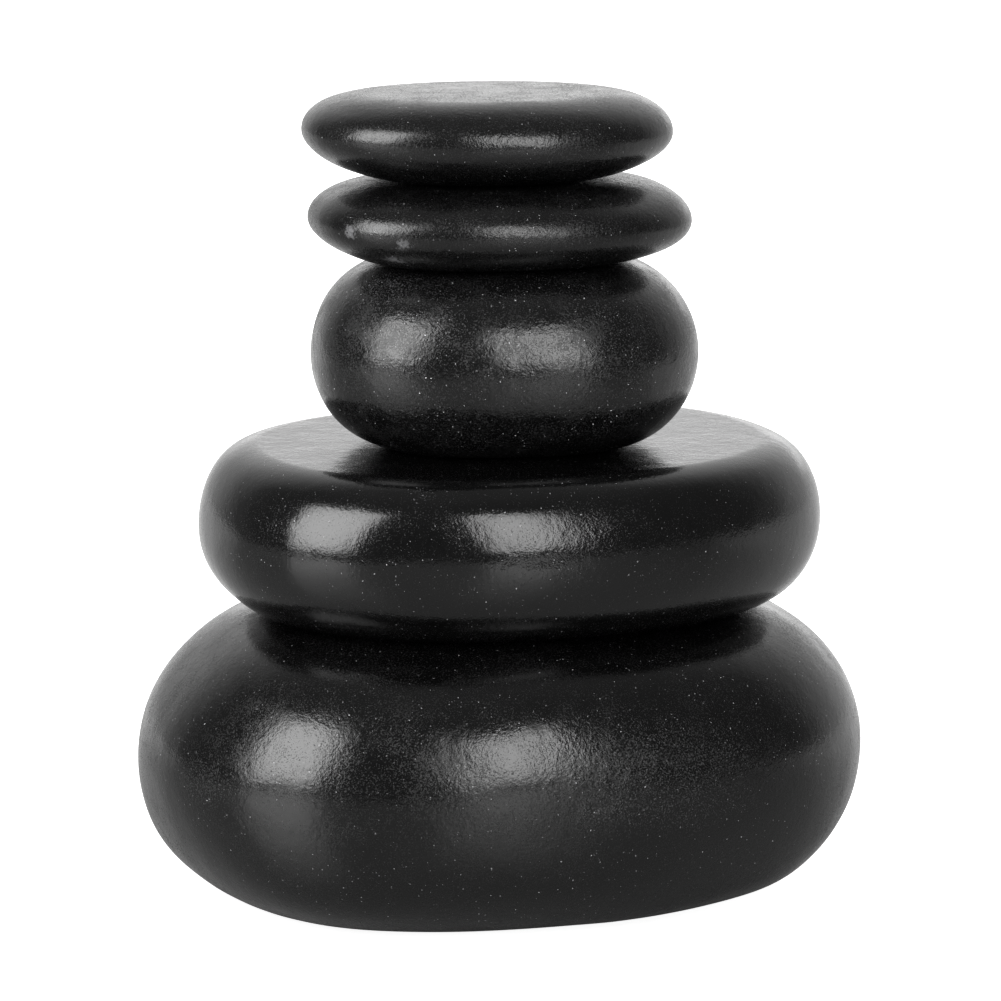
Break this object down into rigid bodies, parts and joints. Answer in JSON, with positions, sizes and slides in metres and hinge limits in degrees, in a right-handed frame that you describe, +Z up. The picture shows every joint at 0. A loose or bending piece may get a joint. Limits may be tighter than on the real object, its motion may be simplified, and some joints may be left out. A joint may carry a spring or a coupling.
{
  "type": "basalt massage stone set",
  "caption": "Pile of smooth polished black basalt pebbles for hot-stone massage, each resting loose on the wider one below.",
  "frame": {"origin": "centre of the base stone's outline, on the flat it stands on", "axes": "+Z up through the pile, +X to the right seen from the front, -Y to the front"},
  "size_m": [0.08, 0.0674, 0.088],
  "materials": {
    "base_basalt": "satin",
    "broad_basalt": "polished",
    "round_basalt": "satin",
    "thin_basalt": "gloss",
    "top_basalt": "gloss"
  },
  "bodies": {
    "base": {"base_stone": "base_basalt"},
    "broad": {"broad_stone": "broad_basalt"},
    "round": {"round_stone": "round_basalt"},
    "thin": {"thin_stone": "thin_basalt"},
    "top": {"top_stone": "top_basalt"}
  },
  "joints": [
    {"name": "broad_lift", "type": "slide", "parent": "base", "child": "broad", "axis": [0, 0, 1], "range_m": [0, 0.04]},
    {"name": "round_lift", "type": "slide", "parent": "broad", "child": "round", "axis": [0, 0, 1], "range_m": [0, 0.04]},
    {"name": "thin_lift", "type": "slide", "parent": "round", "child": "thin", "axis": [0, 0, 1], "range_m": [0, 0.04]},
    {"name": "top_lift", "type": "slide", "parent": "thin", "child": "top", "axis": [0, 0, 1], "range_m": [0, 0.04]}
  ]
}
